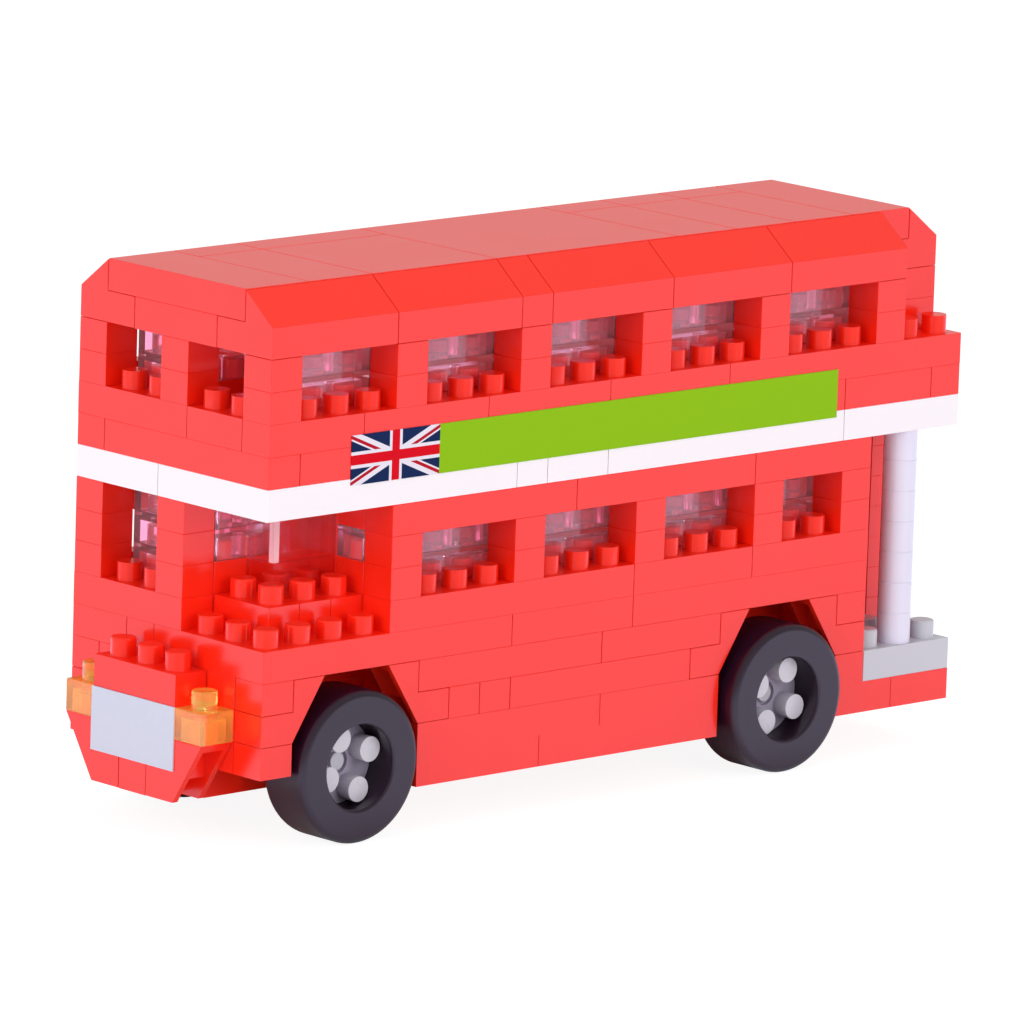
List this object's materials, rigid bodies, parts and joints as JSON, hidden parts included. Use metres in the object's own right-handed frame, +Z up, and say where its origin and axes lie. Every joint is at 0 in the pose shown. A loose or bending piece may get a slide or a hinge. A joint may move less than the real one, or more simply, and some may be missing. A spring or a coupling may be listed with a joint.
{
  "type": "model double decker bus",
  "caption": "Small-brick model of a half-cab double decker bus with an open rear platform, clear windows and four free-turning wheels.",
  "frame": {"origin": "centre of the footprint on the floor, below the middle of the bus's box", "axes": "+X forward, +Y to the near (left) side, +Z up"},
  "size_m": [0.0961, 0.0314, 0.0543],
  "materials": {
    "red_brick": "satin moulded plastic",
    "white_brick": "satin moulded plastic",
    "clear_brick": "clear moulded plastic",
    "amber_brick": "transparent amber plastic",
    "light_grey_brick": "satin moulded plastic",
    "plate": "bare label",
    "green_band": "printed label, bare",
    "tyre": "smooth rubber"
  },
  "bodies": {
    "bus_body": {"skirt_course_1": "red_brick", "skirt_course_2": "red_brick", "skirt_course_3": "red_brick", "skirt_course_4": "red_brick", "arch_slopes": "red_brick", "floor_course": "red_brick", "sill_course": "red_brick", "bonnet_top": "red_brick", "lower_pillars_1": "red_brick", "lower_pillars_2": "red_brick", "lower_lintels": "red_brick", "waist_course_1": "red_brick", "waist_course_2": "red_brick", "upper_pillars_1": "red_brick", "upper_pillars_2": "red_brick", "roof_bearers": "red_brick", "roof_tiles": "red_brick", "roof_slopes": "red_brick", "rear_roof_slopes": "red_brick", "nose_course_1": "red_brick", "nose_course_2": "red_brick", "nose_course_3": "red_brick", "nose_course_4": "red_brick", "nose_slopes": "red_brick", "lower_glass_1": "clear_brick", "lower_glass_2": "clear_brick", "lower_glass_3": "clear_brick", "upper_glass_1": "clear_brick", "upper_glass_2": "clear_brick", "white_course": "white_brick", "pole": "white_brick", "indicators": "amber_brick", "platform": "light_grey_brick", "axle_carriers": "light_grey_brick", "nose_plate": "plate", "side_bands": "green_band"},
    "wheel_front_left": {"tyre_front_left": "tyre", "hub_front_left": "light_grey_brick"},
    "wheel_front_right": {"tyre_front_right": "tyre", "hub_front_right": "light_grey_brick"},
    "wheel_rear_left": {"tyre_rear_left": "tyre", "hub_rear_left": "light_grey_brick"},
    "wheel_rear_right": {"tyre_rear_right": "tyre", "hub_rear_right": "light_grey_brick"}
  },
  "joints": [
    {"name": "wheel_front_left_spin", "type": "hinge", "parent": "bus_body", "child": "wheel_front_left", "pos_m": [0.032, 0.012, 0.0075], "axis": [0, 1, 0], "continuous": true},
    {"name": "wheel_front_right_spin", "type": "hinge", "parent": "bus_body", "child": "wheel_front_right", "pos_m": [0.032, -0.012, 0.0075], "axis": [0, 1, 0], "continuous": true},
    {"name": "wheel_rear_left_spin", "type": "hinge", "parent": "bus_body", "child": "wheel_rear_left", "pos_m": [-0.024, 0.0128, 0.0075], "axis": [0, 1, 0], "continuous": true},
    {"name": "wheel_rear_right_spin", "type": "hinge", "parent": "bus_body", "child": "wheel_rear_right", "pos_m": [-0.024, -0.0128, 0.0075], "axis": [0, 1, 0], "continuous": true}
  ]
}
